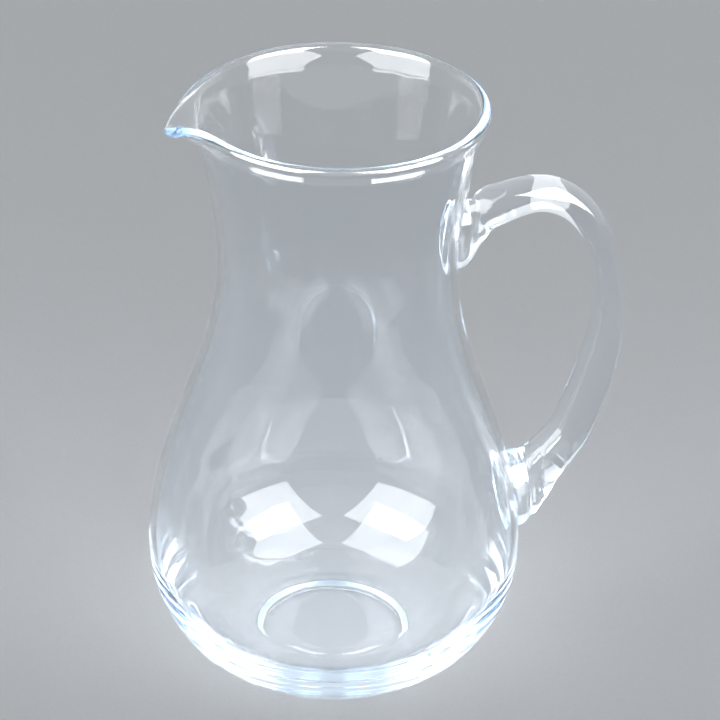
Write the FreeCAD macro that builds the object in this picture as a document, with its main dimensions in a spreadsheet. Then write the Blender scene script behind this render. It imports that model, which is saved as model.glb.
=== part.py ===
"""Large water jug: a blown glass vessel with a pulled pouring lip, and a solid glass handle set on hot.

Millimetres, +Z up. The origin is on the vessel's axis in the plane that the standing ring rests on.
The lip points along -X and the handle along +X, so the jug is symmetric about the XZ plane.
"""
import FreeCAD, Part
import os
from math import cos, exp, pi, sin, sqrt

Vector = FreeCAD.Vector

doc = FreeCAD.newDocument("water_jug")

# ---------------------------------------------------------------- driving dimensions
SIZES = [
    ("rim_height", 250.0, "table to the top of the rim"),
    ("rim_radius", 58.4, "outside of the wall at the rim"),
    ("waist_height", 180.0, "level of the narrowest part of the neck"),
    ("waist_radius", 48.0, "outside of the neck at the waist"),
    ("waist_bend", 14.2, "how far the neck's flare lags behind its straight slope"),
    ("belly_height", 50.0, "level of the widest part of the belly"),
    ("belly_radius", 76.9, "outside of the belly"),
    ("foot_radius", 38.5, "outer edge of the standing ring"),
    ("bowl_fullness", 1.9, "exponent of the lower bowl: 2 is an ellipse"),
    ("wall", 3.0, "glass thickness of the neck and the belly"),
    ("floor_height", 11.0, "table to the inside of the floor"),
    ("floor_radius", 41.0, "flat part of the inside floor"),
    ("punt_radius", 32.0, "inner edge of the standing ring"),
    ("punt_depth", 3.5, "hollow under the floor, inside the standing ring"),
    ("rim_round", 1.5, "rounding of the outside edge of the rim"),
    ("lip_reach", 14.8, "how far the lip's tip is pulled out past the round rim"),
    ("lip_rise", 20.0, "height over which the lip leaves the neck"),
    ("lip_spread", 15.0, "half width of the lip, in degrees about the axis"),
    ("lip_drop", 6.6, "how far the tip droops below the rim"),
    ("lip_run", 29.0, "length over which the droop happens"),
    ("joint_high", 187.0, "centre of the upper handle joint"),
    ("joint_low", 66.0, "centre of the lower handle joint"),
    ("joint_high_size", 32.0, "height of the upper joint on the neck"),
    ("joint_low_size", 36.0, "height of the lower joint on the belly"),
    ("joint_high_width", 19.0, "width of the upper joint"),
    ("joint_low_width", 29.0, "width of the lower joint"),
    ("crown_height", 203.5, "centre line of the handle at its highest"),
    ("handle_out", 35.9, "centre line of the handle at its furthest, past the widest part of the belly"),
    ("handle_width", 17.5, "handle across the grip"),
    ("handle_thick", 12.0, "handle at the slimmest part of the grip"),
    ("crown_thick", 15.0, "handle at its crown"),
    ("heel_thick", 17.5, "handle above the lower joint"),
]

sheet = doc.addObject("Spreadsheet::Sheet", "sizes")
for row, (alias, value, note) in enumerate(SIZES, start=1):
    sheet.set("A%d" % row, alias)
    sheet.set("B%d" % row, str(value))
    sheet.set("C%d" % row, note)
    sheet.setAlias("B%d" % row, alias)
doc.recompute()


def size(alias):
    """The value of one driving dimension."""
    return float(sheet.get(alias))


# ---------------------------------------------------------------- helpers
RING_STEPS = 12                          # points on each half of a vessel section
RING_CROWD = 1.9                         # above 1 crowds those points towards the lip
BOWL_STEPS = 6                           # sections from the foot to the belly
SHOULDER_STEPS = 6                       # sections from the belly to the waist
NECK_STEPS = 3                           # sections from the waist to where the lip starts
LIP_STEPS = 4                            # sections from there to the tip's level
ROD_STEPS = 16                           # points on a handle section
SINK = 5.0                               # how far the rod's ends run into the vessel before the trim


def closed_wire(name, points):
    """A document object that holds one smooth closed curve through the points."""
    curve = Part.BSplineCurve()
    count = len(points)
    curve.interpolate(Points=points, PeriodicFlag=True,
                      Parameters=[i / count for i in range(count + 1)])
    feature = doc.addObject("Part::Feature", name)
    feature.Shape = Part.Wire([curve.toShape()])
    return feature


def loft(name, sections):
    """A solid through the closed wires, in order."""
    feature = doc.addObject("Part::Loft", name)
    feature.Sections = sections
    feature.Solid = True
    feature.Ruled = False
    return feature


def cut(name, base, tool):
    """The base with the tool taken away."""
    feature = doc.addObject("Part::Cut", name)
    feature.Base = base
    feature.Tool = tool
    return feature


# ---------------------------------------------------------------- the vessel's outline
def bowl_point(turn, low, inner, inset):
    """Radius and height on the lower bowl: turn runs from 0 at the foot to 1 at the belly.

    A quarter of a superellipse from radius inner at height low up to the belly.
    """
    power = 2 / size("bowl_fullness")
    out = sin(turn * pi / 2) ** power
    up = 1 - cos(turn * pi / 2) ** power
    radius = inner + (size("belly_radius") - inset - inner) * out
    return radius, low + (size("belly_height") - low) * up


def upper_radius(level):
    """Outside radius above the belly: half a cosine wave in to the waist, then a hyperbola that flares."""
    belly, waist = size("belly_radius"), size("waist_radius")
    rise = size("waist_height") - size("belly_height")
    if level <= size("waist_height"):
        turn = (level - size("belly_height")) / rise
        return (belly + waist) / 2 + (belly - waist) / 2 * cos(pi * turn)
    bend = size("waist_bend")
    full = size("rim_height") - size("waist_height")
    flare = (size("rim_radius") - waist + bend) ** 2 - bend ** 2
    return waist - bend + sqrt(bend ** 2 + flare * ((level - size("waist_height")) / full) ** 2)


def lip_pull(degrees, level):
    """How far the wall is drawn out at this angle from the lip and at this height.

    The pull grows as the cube of the climb up the lip, and dies away round the rim as a rounded bell.
    """
    rise = (level - size("rim_height") + size("lip_rise")) / (size("lip_rise") - size("lip_drop"))
    climb = min(max(rise, 0.0), 1.0) ** 3
    return size("lip_reach") * climb * exp(-(degrees / size("lip_spread")) ** 1.4)


def vessel_section(name, radius, level, lag):
    """A closed section of the vessel at one height, with its points crowded at the lip (-X).

    The inside of the lip lags behind the outside by a little height, which keeps the lip its thickness.
    """
    points = []
    for i in range(2 * RING_STEPS):
        side = (i - RING_STEPS) / RING_STEPS
        angle = pi * abs(side) ** RING_CROWD * (1 if side > 0 else -1)
        reach = radius + lip_pull(abs(angle) * 180 / pi, level - lag)
        points.append(Vector(-reach * cos(angle), reach * sin(angle), level))
    return closed_wire(name, points)


def vessel_form(name, low, inner, inset, top):
    """The vessel filled in: from the foot (or the inside floor) up to the level called top."""
    stations = [bowl_point(turn / BOWL_STEPS, low, inner, inset) for turn in range(BOWL_STEPS)]
    belly, waist, rim = size("belly_height"), size("waist_height"), size("rim_height")
    lip, tip = rim - size("lip_rise"), rim - size("lip_drop")
    levels = [belly + (waist - belly) * part / SHOULDER_STEPS for part in range(SHOULDER_STEPS + 1)]
    levels += [waist + (lip - waist) * part / NECK_STEPS for part in range(1, NECK_STEPS + 1)]
    levels += [lip + (tip - lip) * part / LIP_STEPS for part in range(1, LIP_STEPS + 1)] + [top]
    stations += [(upper_radius(level) - inset, level) for level in levels]
    sections = [vessel_section("%s_%d" % (name, i), radius, level, inset / 3)
                for i, (radius, level) in enumerate(stations)]
    return loft(name, sections)


# ---------------------------------------------------------------- body: the blown vessel
def round_rim(name, base, form):
    """Rounds the rim's edges that lie on the wall of one form."""
    doc.recompute()
    lowest = size("rim_height") - size("lip_drop") - size("rim_round")
    wall = max(form.Shape.Faces, key=lambda face: face.Area)
    picked = []
    for i, edge in enumerate(base.Shape.Edges, start=1):
        middle = Part.Vertex(edge.valueAt((edge.FirstParameter + edge.LastParameter) / 2))
        if edge.BoundBox.ZMin > lowest and wall.distToShape(middle)[0] < 0.01:
            picked.append((i, size("rim_round"), size("rim_round")))
    fillet = doc.addObject("Part::Fillet", name)
    fillet.Base = base
    fillet.Edges = picked
    return fillet


def make_body():
    """The vessel: outside less inside, with the drooping lip, the punt and the rounded rim."""
    rim = size("rim_height")
    outside = vessel_form("outside_form", 0.0, size("foot_radius"), 0.0, rim)
    inside = vessel_form("inside_form", size("floor_height"), size("floor_radius"), size("wall"), rim + 1)
    shell = cut("shell", outside, inside)

    # the droop: what lies above a cylinder laid across the lip is taken away
    block = doc.addObject("Part::Box", "lip_block")
    block.setExpression("Length", "sizes.rim_radius + sizes.lip_reach")
    block.setExpression("Width", "3 * sizes.rim_radius")
    block.setExpression("Height", "4 * sizes.lip_drop")
    block.setExpression("Placement.Base.x", "sizes.lip_run - 2 * (sizes.rim_radius + sizes.lip_reach)")
    block.setExpression("Placement.Base.y", "-1.5 * sizes.rim_radius")
    block.setExpression("Placement.Base.z", "sizes.rim_height - 2 * sizes.lip_drop")
    bow = doc.addObject("Part::Cylinder", "lip_bow")
    bow.setExpression("Radius", "(sizes.lip_run ^ 2 + sizes.lip_drop ^ 2) / (2 * sizes.lip_drop)")
    bow.setExpression("Height", "4 * sizes.rim_radius")
    bow.Placement.Rotation = FreeCAD.Rotation(Vector(1, 0, 0), 90)
    bow.setExpression("Placement.Base.x", "-sizes.rim_radius - sizes.lip_reach + sizes.lip_run")
    bow.setExpression("Placement.Base.y", "2 * sizes.rim_radius")
    bow.setExpression("Placement.Base.z",
                      "sizes.rim_height - (sizes.lip_run ^ 2 + sizes.lip_drop ^ 2) / (2 * sizes.lip_drop)")
    trim = cut("lip_trim", block, bow)
    drooped = cut("drooped", shell, trim)

    # the punt: a shallow cap of a large sphere, which leaves the standing ring round it
    ball = doc.addObject("Part::Sphere", "punt_ball")
    ball.setExpression("Radius", "(sizes.punt_radius ^ 2 + sizes.punt_depth ^ 2) / (2 * sizes.punt_depth)")
    ball.setExpression("Placement.Base.z", "sizes.punt_depth"
                       " - (sizes.punt_radius ^ 2 + sizes.punt_depth ^ 2) / (2 * sizes.punt_depth)")
    hollow = cut("hollow", drooped, ball)
    doc.recompute()

    body = round_rim("body", hollow, outside)
    body.Label = "body"
    return body, outside


# ---------------------------------------------------------------- handle: a solid pulled rod
def handle_stations():
    """Where the handle's sections stand: x, z, slope of the centre line, thickness, width.

    From inside the neck, up over the crown, down the grip and into the belly. Up to the crown a station
    is placed by shares of the span and of the rise, and after it by shares of the drop and of the step.
    """
    high, low, crown = size("joint_high"), size("joint_low"), size("crown_height")
    reach = size("belly_radius") + size("handle_out")
    neck, belly = upper_radius(high), upper_radius(low)
    span = reach - neck                    # from the neck out to the grip
    rise = crown - high                    # from the upper joint up to the crown
    drop = crown - low                     # from the crown down to the lower joint
    step = reach - belly                   # from the belly out to the grip
    width = size("handle_width")
    grip, arch, heel = size("handle_thick"), size("crown_thick"), size("heel_thick")
    tall, broad = size("joint_high_size"), size("joint_high_width")
    deep, wide = size("joint_low_size"), size("joint_low_width")
    return [
        (neck - SINK, high, 0, tall, broad),
        (neck + 0.08 * span, crown - 0.63 * rise, 32, tall * 0.7, broad),
        (neck + 0.25 * span, crown - 0.21 * rise, 22, arch * 1.15, width),
        (neck + 0.46 * span, crown, 0, arch, width),
        (neck + 0.73 * span, crown - 0.045 * drop, -34, arch * 0.97, width),
        (neck + 0.88 * span, crown - 0.125 * drop, -58, grip * 1.05, width),
        (reach - 0.03 * step, crown - 0.29 * drop, -83, grip * 0.92, width),
        (reach, crown - 0.40 * drop, -92, grip * 1.02, width),
        (reach - 0.07 * step, crown - 0.56 * drop, -104, heel * 0.92, width),
        (reach - 0.24 * step, crown - 0.715 * drop, -114, heel, width),
        (belly + 0.45 * step, crown - 0.875 * drop, -134, heel * 1.04, width * 1.1),
        (belly + 0.12 * step, crown - 0.98 * drop, -160, deep * 0.8, wide * 0.95),
        (belly - SINK, low, -180, deep, wide),
    ]


def handle_section(name, x, z, slope, thick, width):
    """A rounded section square to the centre line: thick in the handle's plane, wide across it."""
    tilt = slope * pi / 180
    points = []
    for i in range(ROD_STEPS):
        turn = 2 * pi * i / ROD_STEPS
        along = thick / 2 * cos(turn)
        points.append(Vector(x - along * sin(tilt), width / 2 * sin(turn), z + along * cos(tilt)))
    return closed_wire(name, points)


def make_handle(outside):
    """The handle, trimmed to the outside of the vessel that it is fused to."""
    sections = [handle_section("rod_%d" % i, *station) for i, station in enumerate(handle_stations())]
    rod = loft("rod", sections)
    handle = cut("handle", rod, outside)
    handle.Label = "handle"
    return handle


# ---------------------------------------------------------------- build, test and write
body, outside = make_body()
handle = make_handle(outside)
doc.recompute()
for item in doc.Objects:
    if "Invalid" in item.State or "Error" in item.State:
        raise RuntimeError("%s failed: %s" % (item.Name, item.State))

os.makedirs("parts", exist_ok=True)
for item in (body, handle):
    shape = item.Shape
    if shape.isNull() or not shape.isValid():
        raise RuntimeError("%s has no valid shape" % item.Label)
    shape.exportStep("parts/%s.step" % item.Label)
    box = shape.BoundBox
    print("%s: %d solid, %.1f cm3, x %.1f..%.1f y %.1f..%.1f z %.1f..%.1f" % (
        item.Label, len(shape.Solids), shape.Volume / 1000,
        box.XMin, box.XMax, box.YMin, box.YMax, box.ZMin, box.ZMax))
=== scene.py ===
import bpy
import numpy as np
from mathutils import Matrix, Vector


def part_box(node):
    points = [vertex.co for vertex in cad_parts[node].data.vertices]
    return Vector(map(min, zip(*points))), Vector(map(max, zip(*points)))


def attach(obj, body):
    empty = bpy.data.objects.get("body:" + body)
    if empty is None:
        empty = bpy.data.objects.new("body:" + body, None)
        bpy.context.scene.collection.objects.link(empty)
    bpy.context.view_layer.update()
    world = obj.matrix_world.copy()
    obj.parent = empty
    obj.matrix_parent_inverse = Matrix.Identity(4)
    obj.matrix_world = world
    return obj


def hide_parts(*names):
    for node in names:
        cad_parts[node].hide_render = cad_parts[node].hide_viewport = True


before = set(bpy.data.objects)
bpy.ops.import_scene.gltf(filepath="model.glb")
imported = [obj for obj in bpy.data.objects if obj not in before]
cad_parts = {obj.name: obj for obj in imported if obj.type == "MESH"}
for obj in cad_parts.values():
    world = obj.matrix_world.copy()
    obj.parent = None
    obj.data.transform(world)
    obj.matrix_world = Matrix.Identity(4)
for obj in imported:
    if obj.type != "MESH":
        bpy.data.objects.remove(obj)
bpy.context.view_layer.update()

# ---------------------------------------------------------------- camera
# Stands in front of the jug and a little to the lip's side, looking down past the rim to the floor of the
# glass. It is long in focal length, so the upright sides hardly converge.
STAND = Vector((-0.2348, -1.2080, 0.8377))
LOOK_AT = Vector((0.0094, -0.0018, 0.1345))
ROLL = np.radians(1.04)
camera = bpy.data.objects.new("camera", bpy.data.cameras.new("camera"))
camera.data.lens = 175.0
camera.data.sensor_width = 36.0
facing = (LOOK_AT - STAND).to_track_quat("-Z", "Y").to_matrix().to_4x4()
camera.matrix_world = Matrix.Translation(STAND) @ facing @ Matrix.Rotation(ROLL, 4, "Z")
bpy.context.scene.collection.objects.link(camera)
bpy.context.scene.camera = camera


# ---------------------------------------------------------------- the vessel
# Blown soda-lime glass: a round belly on a thick flat floor, a waisted neck, and a fire-polished rim drawn
# out into a small drooping lip. One piece, clear, with a trace of blue where it is looked at edge on.
MM = 0.001
low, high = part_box("body")
RIM = high.z - 0.8 * MM                         # the lip's shoulders rise a little above the rim
BELLY_R = (high.y - low.y) / 2
BELLY_Z = 50 * MM
WAIST_R = 48 * MM
WAIST_Z = 180 * MM
WAIST_BEND = 14.2 * MM
RIM_R = 58.8 * MM
FOOT_R = 38.5 * MM
PUNT_R = 32 * MM
PUNT_DEPTH = 3.5 * MM
PUNT_STEP = 9                                   # power that makes the punt's edge a crisp step
FLOOR_R = 41 * MM
FLOOR_Z = 11 * MM
FLOOR_CROWN = 0.3 * MM
WALL = 3.0 * MM
BEAD_R = 2.3 * MM
BEAD_RUN = 3.5 * MM                             # how far below the rim the wall starts to swell
FULLNESS = 1.9
LIP_REACH = 14.8 * MM
LIP_RISE = 20 * MM
LIP_DROOP = 6.5 * MM
LIP_SPREAD = 13.6                               # degrees from the tip over which the pull falls off
LIP_DROOP_SPREAD = 8
LIP_CURL = 3.2                                  # power of the climb: how late the wall turns out
LIP_SHOULDER = (22, 12, 1.0 * MM)               # degrees from the tip, degrees wide, height
BLOW_MARKS = 0.05 * MM                          # how uneven the blown wall is
AROUND = 240
POLE = 0.06                                     # share of a disc's radius where a fan closes it


def bowl(turn, foot_r, foot_z, inset):
    """Radius and height on a quarter superellipse, from (foot_r, foot_z) at turn 0 to the belly at 1."""
    power = 2 / FULLNESS
    radius = foot_r + (BELLY_R - inset - foot_r) * np.sin(turn * np.pi / 2) ** power
    return radius, foot_z + (BELLY_Z - foot_z) * (1 - np.cos(turn * np.pi / 2) ** power)


def upper_radius(z):
    """Outside radius above the belly: half a cosine wave in to the waist, then a hyperbola out to the rim."""
    wave = np.cos(np.pi * np.clip((z - BELLY_Z) / (WAIST_Z - BELLY_Z), 0, 1))
    shoulder = (BELLY_R + WAIST_R) / 2 + (BELLY_R - WAIST_R) / 2 * wave
    flare = (RIM_R - WAIST_R + WAIST_BEND) ** 2 - WAIST_BEND ** 2
    climb = np.clip(z - WAIST_Z, 0, None) / (RIM - WAIST_Z)
    return shoulder - WAIST_BEND + np.sqrt(WAIST_BEND ** 2 + flare * climb ** 2)


def lip_shift(around, z):
    """How far the wall is drawn out and down at an angle from the lip and a height.

    The pull falls off as exp(-(angle / spread) ^ p) about the tip, and grows as a power of the climb. The
    rim's shoulders on both sides of the lip rise a little.
    """
    degrees = np.degrees(np.abs(around))
    climb = np.clip((z - RIM + LIP_RISE) / LIP_RISE, 0, 1)
    out = LIP_REACH * np.exp(-(degrees / LIP_SPREAD) ** 1.25) * climb ** LIP_CURL
    down = LIP_DROOP * np.exp(-(degrees / LIP_DROOP_SPREAD) ** 1.5) * climb ** LIP_CURL
    centre, spread, height = LIP_SHOULDER
    lift = height * np.exp(-((degrees - centre) / spread) ** 2) * climb ** 2
    return out, lift - down


def blown(rows, phase):
    """The rows with the faint unevenness of blown glass: the radius shrinks by a few long waves."""
    x, y, z = np.moveaxis(rows, -1, 0)
    angle, level = np.arctan2(y, x), z / MM
    wave = (np.cos(2 * angle + level / 19 + phase) + np.cos(3 * angle - level / 13 + 2 * phase)
            + np.cos(level / 8 + phase) + np.cos(5 * angle + level / 31 - phase))
    near_axis = np.clip(np.hypot(x, y) / FOOT_R, 0, 1) ** 2
    shrink = 1 - BLOW_MARKS * near_axis * (4 + wave) / 4 / np.maximum(np.hypot(x, y), MM)
    return np.stack([x * shrink, y * shrink, z], -1)


def revolve(radius, height, around):
    """Rows of points: each (radius, height) carried round the axis."""
    radius, height = radius[:, None], height[:, None]
    return np.stack([-radius * np.cos(around), radius * np.sin(around), height + 0 * around], -1)


def tube_mesh(name, rows, start, end):
    """A closed mesh: rows of points, each row a ring, between a start point and an end point."""
    count, wide = rows.shape[:2]
    points = np.concatenate([[start], rows.reshape(-1, 3), [end]])
    ring, step = np.meshgrid(np.arange(count - 1), np.arange(wide), indexing="ij")
    here = 1 + ring * wide + step
    beside = 1 + ring * wide + (step + 1) % wide
    quads = np.stack([here, here + wide, beside + wide, beside], -1).reshape(-1, 4)
    edge = np.arange(wide)
    turn = (edge + 1) % wide
    last = 1 + (count - 1) * wide
    first_fan = np.stack([0 * edge, 1 + edge, 1 + turn], -1)
    last_fan = np.stack([0 * edge + len(points) - 1, last + turn, last + edge], -1)
    mesh = bpy.data.meshes.new(name)
    mesh.from_pydata(points.tolist(), [], quads.tolist() + first_fan.tolist() + last_fan.tolist())
    mesh.shade_smooth()
    piece = bpy.data.objects.new(name, mesh)
    bpy.context.scene.collection.objects.link(piece)
    return piece


def vessel_rows():
    """Rings from under the foot, up the outside, over the rim and down the inside to the floor."""
    share = np.linspace(-1, 1, AROUND, endpoint=False)
    around = np.pi * np.sign(share) * np.abs(share) ** 1.4
    # under the foot: the punt's dome, a crisp step and the standing ring
    reach = np.concatenate([np.linspace(POLE, 0.9, 16) * PUNT_R, np.linspace(0.91, 1.0, 14) * PUNT_R])
    dome = PUNT_DEPTH * (1 - (reach / PUNT_R) ** PUNT_STEP)
    ring = np.linspace(PUNT_R, FOOT_R, 8)[1:]
    under = revolve(np.append(reach, ring), np.append(dome, 0 * ring), around)
    outside = revolve(*bowl(np.linspace(0, 1, 60)[1:], FOOT_R, 0.0, 0.0), around)
    inside = revolve(*bowl(np.linspace(1, 0, 60)[:-1], FLOOR_R, FLOOR_Z, WALL), around)
    flat = np.linspace(1, POLE, 18) * FLOOR_R
    floor = revolve(flat, FLOOR_Z + FLOOR_CROWN * (1 - (flat / FLOOR_R) ** 2), around)
    # the wall's middle surface from the belly to the rim, with the lip drawn out of it
    z = BELLY_Z + (RIM - BEAD_R - BELLY_Z) * np.linspace(0, 1, 110) ** 0.8
    z = z[:, None] + 0 * around
    out, up = lip_shift(around, z)
    radius = upper_radius(z) - WALL / 2 + out
    middle = np.stack([-radius * np.cos(around), radius * np.sin(around), z + up], -1)
    rise = np.gradient(middle, axis=0)
    rise /= np.linalg.norm(rise, axis=-1, keepdims=True)
    turn = np.roll(middle, -1, axis=1) - np.roll(middle, 1, axis=1)
    outward = np.cross(rise, turn)
    outward /= np.linalg.norm(outward, axis=-1, keepdims=True)
    # the wall swells into the bead over the last few millimetres
    swell = np.exp(-((RIM - BEAD_R - z) / BEAD_RUN) ** 2)[..., None]
    half = WALL / 2 + (BEAD_R - WALL / 2) * swell
    bend = np.linspace(np.pi / 2, -np.pi / 2, 15)[1:-1, None, None]
    bead = middle[-1] + BEAD_R * (outward[-1] * np.sin(bend) + rise[-1] * np.cos(bend))
    skin = np.concatenate([under, outside, (middle + outward * half)[1:], bead])
    lining = np.concatenate([(middle - outward * half)[::-1], inside[1:], floor[1:]])
    return np.concatenate([blown(skin, 0.0), blown(lining, 2.0)])


class Wire:
    """A shader socket in a material's node tree that takes part in Python arithmetic."""

    def __init__(self, tree, socket):
        self.tree, self.socket = tree, socket

    def node(self, kind, settings=None, output=0, **inputs):
        """Adds a node of a kind, gives it its settings, then the values or links of its sockets."""
        made = self.tree.nodes.new("ShaderNode" + kind)
        for name, value in (settings or {}).items():
            setattr(made, name, value)
        for name, value in inputs.items():
            slot = made.inputs[int(name[1:])] if name[1:].isdigit() else made.inputs[name.replace("_", " ")]
            if isinstance(value, Wire):
                self.tree.links.new(value.socket, slot)
            else:
                slot.default_value = value
        return Wire(self.tree, made.outputs[output])

    def maths(self, operation, first, second):
        return self.node("Math", {"operation": operation}, i0=first, i1=second)

    def __add__(self, other):
        return self.maths("ADD", self, other)

    def __mul__(self, other):
        return self.maths("MULTIPLY", self, other)

    def __pow__(self, other):
        return self.maths("POWER", self, other)

    __radd__, __rmul__ = __add__, __mul__

    def between(self, start, end):
        """A colour that runs from start to end as this value runs from 0 to 1."""
        return self.node("Mix", {"data_type": "RGBA"}, output=2, i0=self, i6=(*start, 1), i7=(*end, 1))


def new_material(name):
    """A Principled material: the material, its shader, and a wire with the object's own coordinates."""
    material = bpy.data.materials.new(name)
    material.use_nodes = True
    tree = material.node_tree
    place = Wire(tree, tree.nodes.new("ShaderNodeTexCoord").outputs["Object"])
    return material, tree.nodes["Principled BSDF"], place


def feed(shader, **wires):
    """Links each wire to the shader's socket of that name."""
    for name, wire in wires.items():
        wire.tree.links.new(wire.socket, shader.inputs[name.replace("_", " ")])


DEPTH_TINT = 3.0                                # how fast the glass turns blue with depth, per metre


def clear_glass(name, cool, warm, lines, ripple):
    """Fire-polished glass: a colour that wanders between two near-clear tints, cloudy handling marks in the
    gloss, and a skin that ripples softly, with fine drawn lines across the axis as strong as lines."""
    material, shader, place = new_material(name)
    shader.inputs["Transmission Weight"].default_value = 1.0
    shader.inputs["IOR"].default_value = 1.52
    cloud = place.node("TexNoise", Vector=place, Scale=22.0, Detail=3.0)
    smudge = place.node("TexNoise", Vector=place, Scale=95.0, Detail=5.0, Roughness=0.6)
    swell = place.node("TexNoise", Vector=place, Scale=38.0, Detail=1.0)
    drawn = place.node("TexWave", {"bands_direction": "Z"}, output=1, Vector=place, Scale=60.0,
                       Distortion=3.0, Detail=2.0, Detail_Scale=0.7)
    height = swell + drawn * lines
    feed(shader, Base_Color=cloud.between(cool, warm), Roughness=smudge ** 3 * 0.03,
         Normal=place.node("Bump", Height=height, Strength=ripple, Distance=0.02 * MM))
    depth = place.node("VolumeAbsorption", Color=(0.66, 0.84, 1.0, 1), Density=DEPTH_TINT)
    material.node_tree.links.new(depth.socket, material.node_tree.nodes["Material Output"].inputs["Volume"])
    return material


body = tube_mesh("jug_body", vessel_rows(), (0, 0, PUNT_DEPTH), (0, 0, FLOOR_Z + FLOOR_CROWN))
body.data.materials.append(clear_glass("body_glass", (0.955, 0.978, 1.0), (0.985, 0.993, 1.0), 0.12, 0.6))
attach(body, "root")
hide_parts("body")


# ---------------------------------------------------------------- the handle
# A solid rod of the same glass, laid on hot at the belly, pulled round in a loop and pressed on to the neck.
# The jacks leave deep rings across its heel, and the hot end crinkles where it is stuck on the neck.
# (x, z, thickness, width) down the centre line, from where the upper joint ends to where the lower begins
ROD = np.array([
    (63.4, 199.8, 17.0, 18.0),
    (77.6, 203.5, 14.8, 17.5),
    (88.5, 202.0, 14.3, 17.0),
    (97.0, 196.8, 13.6, 16.5),
    (104.5, 187.5, 12.6, 16.0),
    (109.3, 176.0, 11.2, 15.5),
    (111.8, 163.0, 10.9, 15.5),
    (112.3, 149.0, 12.2, 16.0),
    (111.4, 134.0, 15.0, 16.5),
    (108.4, 120.0, 16.4, 17.0),
    (103.8, 105.0, 17.3, 17.5),
    (98.2, 91.5, 17.4, 18.5),
    (91.6, 82.5, 18.6, 20.0),
]) * MM
UPPER_JOINT = (187 * MM, 16 * MM, 9.5 * MM)      # height on the vessel, half height, half width
LOWER_JOINT = (66 * MM, -18 * MM, 15 * MM)       # upside down: the rod's outer side lands at the bottom
JACK_RING = 9.0 * MM                             # from one tooled ring to the next
JACK_DEPTH = 1.0 * MM
HEEL_MARKS = 17 * MM                             # how far the tooled rings reach up the rod
CRINKLE = 0.5 * MM
CRINKLE_REACH = 20 * MM
FLARE = 0.35                                     # how far a joint spreads sideways as it lands
CAP_RINGS = 9                                    # rings that close each joint inside the wall
ROUND = 96


def smooth_line(points, count):
    """A natural cubic line through the points, sampled evenly in its own parameter."""
    n = len(points)
    system = 4 * np.eye(n) + np.eye(n, k=1) + np.eye(n, k=-1)
    system[0, 0] = system[-1, -1] = 2
    ahead, behind = np.roll(points, -1, 0), np.roll(points, 1, 0)
    ahead[-1], behind[0] = points[-1], points[0]
    slope = np.linalg.solve(system, 3 * (ahead - behind))
    t = np.linspace(0, n - 1 - 1e-9, count)
    i = t.astype(int)
    u = (t - i)[:, None]
    return ((2 * u ** 3 - 3 * u ** 2 + 1) * points[i] + (u ** 3 - 2 * u ** 2 + u) * slope[i]
            + (3 * u ** 2 - 2 * u ** 3) * points[i + 1] + (u ** 3 - u ** 2) * slope[i + 1])


def wall_point(across, z, depth):
    """The point on the handle's side of the vessel at a distance across, a height and a depth in the wall."""
    radius = np.where(z > BELLY_Z, upper_radius(z), BELLY_R) - depth
    turn = across / radius
    return np.stack([radius * np.cos(turn), radius * np.sin(turn), z], -1)


def joint_rows(ring, heading, joint, count):
    """Rings from the rod's end ring to an oval on the vessel: each point follows a cubic that leaves along
    the rod and lands on the wall, and the rings then close on the joint's centre inside the wall."""
    turn = np.linspace(0, 2 * np.pi, ROUND, endpoint=False)
    height, tall, wide = joint
    foot = wall_point(wide * np.sin(turn), height + tall * np.cos(turn), WALL / 2)
    away = foot - wall_point(0 * turn, height + 0 * turn, WALL / 2)
    away /= np.linalg.norm(away, axis=-1, keepdims=True)
    land = away * FLARE - np.array([1.0, 0, 0])
    span = np.linalg.norm(foot - ring, axis=-1, keepdims=True)
    u = np.linspace(0, 1, count)[1:, None, None]
    rows = ((2 * u ** 3 - 3 * u ** 2 + 1) * ring + (u ** 3 - 2 * u ** 2 + u) * heading * span * 1.1
            + (3 * u ** 2 - 2 * u ** 3) * foot + (u ** 3 - u ** 2) * land * span * 1.3)
    shrink = np.linspace(1, 0.12, CAP_RINGS + 1)[1:, None]
    cap = wall_point(wide * np.sin(turn) * shrink, height + tall * np.cos(turn) * shrink, WALL / 2)
    return np.concatenate([rows, cap])


def worked(rows, ends):
    """The rows with the marks of working: at the heel each ring is drawn in by a fourth power of a cosine
    of its distance from the wall, and at the neck two crossed waves ripple the skin. Both die out along the
    rod."""
    turn = np.linspace(0, 2 * np.pi, ROUND, endpoint=False)
    centre = rows.mean(axis=1, keepdims=True)
    out = rows - centre
    out /= np.maximum(np.linalg.norm(out, axis=-1, keepdims=True), 1e-9)
    run = np.linalg.norm(np.diff(rows, axis=0), axis=-1)
    along = np.concatenate([np.zeros((1, ROUND)), np.cumsum(run, axis=0)])
    top = along - along[ends[0]]
    heel = along[ends[1]] - along
    fade_heel = np.exp(-(heel / HEEL_MARKS) ** 4) * (heel > 0) * np.clip(heel / (1.5 * MM), 0, 1)
    fade_top = np.exp(-(top / CRINKLE_REACH) ** 2) * (top > 0) * np.clip(top / (2 * MM), 0, 1)
    rings = -JACK_DEPTH * np.cos(np.pi * heel / JACK_RING) ** 4 * (0.75 + 0.25 * np.cos(turn))
    folds = -CRINKLE * (2 + np.cos(5 * turn + top / (1.9 * MM)) + np.cos(3 * turn - top / (2.6 * MM) + 1)) / 2
    return rows + out * (rings * fade_heel + folds * fade_top)[..., None]


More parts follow.
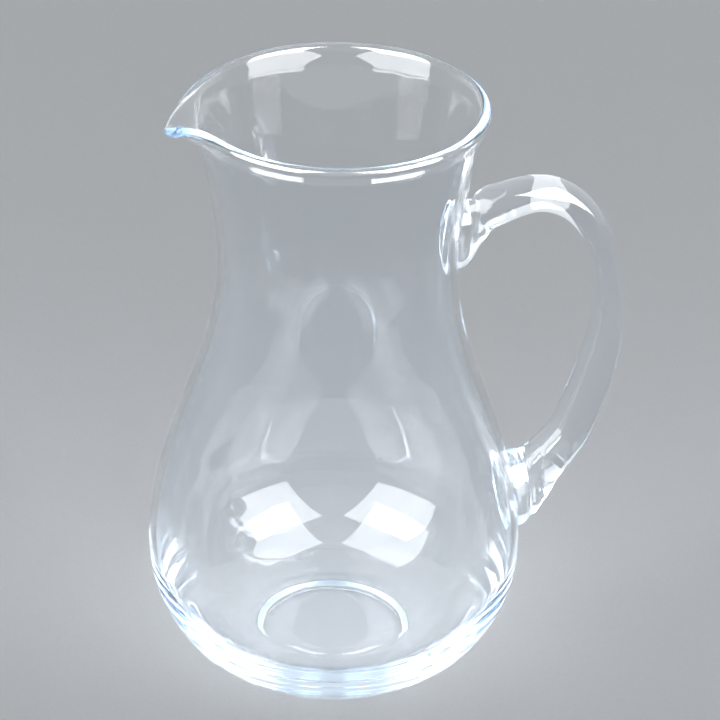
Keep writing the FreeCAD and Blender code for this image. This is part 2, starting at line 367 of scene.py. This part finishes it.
def handle_rows():
    """Rings down the handle: the upper joint, the rod and the lower joint."""
    turn = np.linspace(0, 2 * np.pi, ROUND, endpoint=False)
    line = smooth_line(ROD, 160)
    x, z, thick, wide = line.T[:, :, None]
    run = np.gradient(line[:, :2], axis=0)
    run /= np.linalg.norm(run, axis=1, keepdims=True)
    along = thick / 2 * np.cos(turn)
    rod = np.stack([x - along * run[:, 1:], wide / 2 * np.sin(turn) + 0 * x, z + along * run[:, :1]], -1)
    start = np.array([-run[0, 0], 0, -run[0, 1]])
    finish = np.array([run[-1, 0], 0, run[-1, 1]])
    upper = joint_rows(rod[0], start, UPPER_JOINT, 60)
    lower = joint_rows(rod[-1], finish, LOWER_JOINT, 80)
    rows = np.concatenate([upper[::-1], rod, lower])
    return worked(rows, (CAP_RINGS, len(rows) - 1 - CAP_RINGS))


rows = handle_rows()
handle = tube_mesh("jug_handle", rows, rows[0].mean(0), rows[-1].mean(0))
handle.data.materials.append(clear_glass("handle_glass", (0.95, 0.975, 1.0), (0.98, 0.99, 1.0), 0.05, 0.5))
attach(handle, "root")
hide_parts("handle")


# ---------------------------------------------------------------- floor
# A seamless pale paper sheet that the jug stands on, a hair below the foot so that the two never share a
# face.
FLOOR_GAP = 0.3 * MM
floor_mesh = bpy.data.meshes.new("floor")
corners = [(x, y, -FLOOR_GAP) for x, y in ((-4, -4), (4, -4), (4, 6), (-4, 6))]
floor_mesh.from_pydata(corners, [], [(0, 1, 2, 3)])
floor = bpy.data.objects.new("floor", floor_mesh)
bpy.context.scene.collection.objects.link(floor)
paper, shader, place = new_material("pale_paper")
shader.inputs["Specular IOR Level"].default_value = 0.0
grain = place.node("TexNoise", Vector=place, Scale=900.0, Detail=2.0)
feed(shader, Base_Color=grain.between((0.40, 0.403, 0.41), (0.44, 0.443, 0.45)), Roughness=0.8 + grain * 0.1)
floor.data.materials.append(paper)


# ---------------------------------------------------------------- light
# An even, bright room with a large softbox on each side of the camera. The softboxes only show in the glass.
world = bpy.data.worlds.new("room")
bpy.context.scene.world = world
world.use_nodes = True
world.node_tree.nodes["Background"].inputs["Color"].default_value = (0.93, 0.97, 1.0, 1)
world.node_tree.nodes["Background"].inputs["Strength"].default_value = 0.95


def softbox(name, turn, height, away, size, radiance):
    """A softbox that stands round the jug at an angle from its front, and faces it."""
    lamp = bpy.data.objects.new(name, bpy.data.lights.new(name, "AREA"))
    lamp.data.shape = "RECTANGLE"
    lamp.data.size, lamp.data.size_y = size
    lamp.data.energy = radiance * np.pi * size[0] * size[1]
    turn = np.radians(turn)
    place = Vector((away * np.sin(turn), -away * np.cos(turn), height))
    facing = (Vector((0, 0, 0.1)) - place).to_track_quat("-Z", "Y").to_matrix().to_4x4()
    lamp.matrix_world = Matrix.Translation(place) @ facing
    lamp.visible_camera = False
    lamp.visible_diffuse = False
    bpy.context.scene.collection.objects.link(lamp)


softbox("soft_left", -62, 0.72, 0.85, (0.95, 1.1), 22)
softbox("soft_right", 43, 0.71, 0.85, (0.95, 1.12), 22)

bpy.context.scene.view_settings.view_transform = "Standard"
bpy.context.scene.cycles.max_bounces = 100
bpy.context.scene.cycles.transmission_bounces = 100
bpy.context.scene.cycles.glossy_bounces = 100
